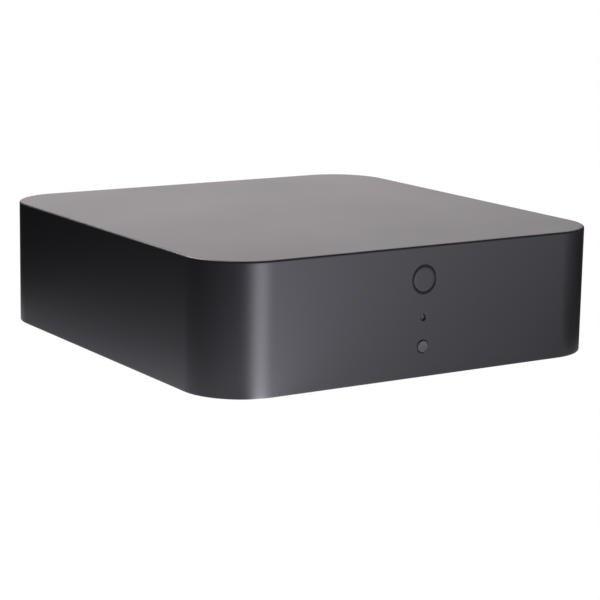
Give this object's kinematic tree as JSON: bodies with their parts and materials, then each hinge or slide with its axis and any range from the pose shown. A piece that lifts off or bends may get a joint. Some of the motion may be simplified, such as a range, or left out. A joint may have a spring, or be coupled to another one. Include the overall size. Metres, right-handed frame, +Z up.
{
  "type": "network audio hub",
  "caption": "Low square network audio hub with rounded corners, a front button and status light, and a recessed bay of sockets at the back.",
  "frame": {"origin": "centre of the footprint, on the surface that the feet stand on", "axes": "+Z up; the front with the button faces -Y and the sockets face +Y; +X is on the right as seen from the front"},
  "size_m": [0.143, 0.1434, 0.0409],
  "materials": {
    "shell_plastic": "satin, fine moulded grain",
    "base_plastic": "matt, fine spark texture",
    "panel_plastic": "matt, fine spark texture",
    "foot_rubber": "matt",
    "black_steel": "black oxide, satin",
    "zinc_steel": "bright zinc",
    "ring_metal": "polished",
    "clear_plastic": "clear moulded acrylic",
    "button_plastic": "satin",
    "switch_plastic": "matt",
    "light_diode": "gloss",
    "circuit_board": "solder mask",
    "ribbon_film": "laminated film",
    "ribbon_socket": "moulded nylon",
    "jack_housing": "moulded nylon",
    "gold_plate": "gold plated",
    "core_red": "gloss",
    "core_white": "gloss",
    "core_orange": "gloss",
    "shutter_plastic": "satin",
    "spring_steel": "drawn wire",
    "receiver_plastic": "dark red tinted",
    "nickel_steel": "nickel plated",
    "socket_plastic": "moulded nylon",
    "lamp_plastic": "diffusing",
    "wire_green": "insulated wire",
    "chip_black": "moulded epoxy",
    "pad_grey": "soft silicone",
    "sink_aluminium": "black anodised",
    "pin_plastic": "moulded nylon",
    "tin_steel": "tin plated",
    "aerial_film": "copper film on amber backing",
    "lead_black": "thin coaxial lead",
    "capacitor_can": "lacquered can",
    "coil_ferrite": "pressed ferrite",
    "relay_white": "gloss"
  },
  "bodies": {
    "case": {"top_shell": "shell_plastic", "base_cover": "base_plastic", "rubber_feet": "foot_rubber", "case_screws": "black_steel", "rear_panel": "panel_plastic", "panel_screws": "black_steel", "front_ring": "ring_metal", "light_guide": "clear_plastic", "front_switch": "switch_plastic", "status_light": "light_diode", "front_board": "circuit_board", "front_board_screws": "black_steel", "ribbon_cable": "ribbon_film", "ribbon_sockets": "ribbon_socket", "main_board": "circuit_board", "board_screws": "zinc_steel", "line_jack_block": "jack_housing", "digital_jack_block": "jack_housing", "jack_sleeves": "gold_plate", "jack_core_red": "core_red", "jack_core_white": "core_white", "jack_core_orange": "core_orange", "jack_contacts": "gold_plate", "shutter_pin": "zinc_steel", "shutter_spring": "spring_steel", "optical_receiver": "receiver_plastic", "hdmi_shield": "nickel_steel", "hdmi_insert": "socket_plastic", "hdmi_contacts": "gold_plate", "usb_shield": "nickel_steel", "usb_insert": "socket_plastic", "usb_contacts": "gold_plate", "lan_shield": "nickel_steel", "lan_insert": "socket_plastic", "lan_contacts": "gold_plate", "lan_lamps": "lamp_plastic", "power_socket": "socket_plastic", "power_pin": "nickel_steel", "ground_stud": "nickel_steel", "ground_lug": "tin_steel", "ground_nut": "nickel_steel", "ground_wire": "wire_green", "processor_chip": "chip_black", "thermal_pad": "pad_grey", "heat_sink": "sink_aluminium", "heat_sink_pins": "pin_plastic", "small_chips": "chip_black", "shield_can": "tin_steel", "radio_module": "tin_steel", "aerials": "aerial_film", "aerial_leads": "lead_black", "capacitors": "capacitor_can", "power_coils": "coil_ferrite", "input_relays": "relay_white"},
    "button": {"front_button": "button_plastic"},
    "plunger": {"switch_plunger": "switch_plastic"},
    "shutter": {"optical_shutter": "shutter_plastic"},
    "washer": {"ground_washer": "nickel_steel"},
    "knob": {"ground_knob": "gold_plate"}
  },
  "joints": [
    {"name": "button_press", "type": "slide", "parent": "case", "child": "button", "axis": [0, 1, 0], "range_m": [0, 0.0004], "stiffness_N_per_m": 900, "springref_m": -0.0006},
    {"name": "plunger_press", "type": "slide", "parent": "case", "child": "plunger", "axis": [0, 1, 0], "range_m": [0, 0.0004]},
    {"name": "shutter_swing", "type": "hinge", "parent": "case", "child": "shutter", "pos_m": [0.0186, 0.06055, 0.0206], "axis": [-1, 0, 0], "range_deg": [0, 90], "stiffness_Nm_per_rad": 0.0004, "springref_deg": -28.65},
    {"name": "washer_travel", "type": "slide", "parent": "case", "child": "washer", "axis": [0, 1, 0], "range_m": [0, 0.0021]},
    {"name": "knob_turn", "type": "hinge", "parent": "washer", "child": "knob", "pos_m": [0.044, 0.067, 0.0222], "axis": [0, 1, 0], "range_deg": [0, 1080]}
  ],
  "couplings": [
    {"joint": "plunger_press", "follows": "button_press", "ratio": 1},
    {"joint": "knob_turn", "follows": "washer_travel", "rad_per_m": 8976}
  ]
}
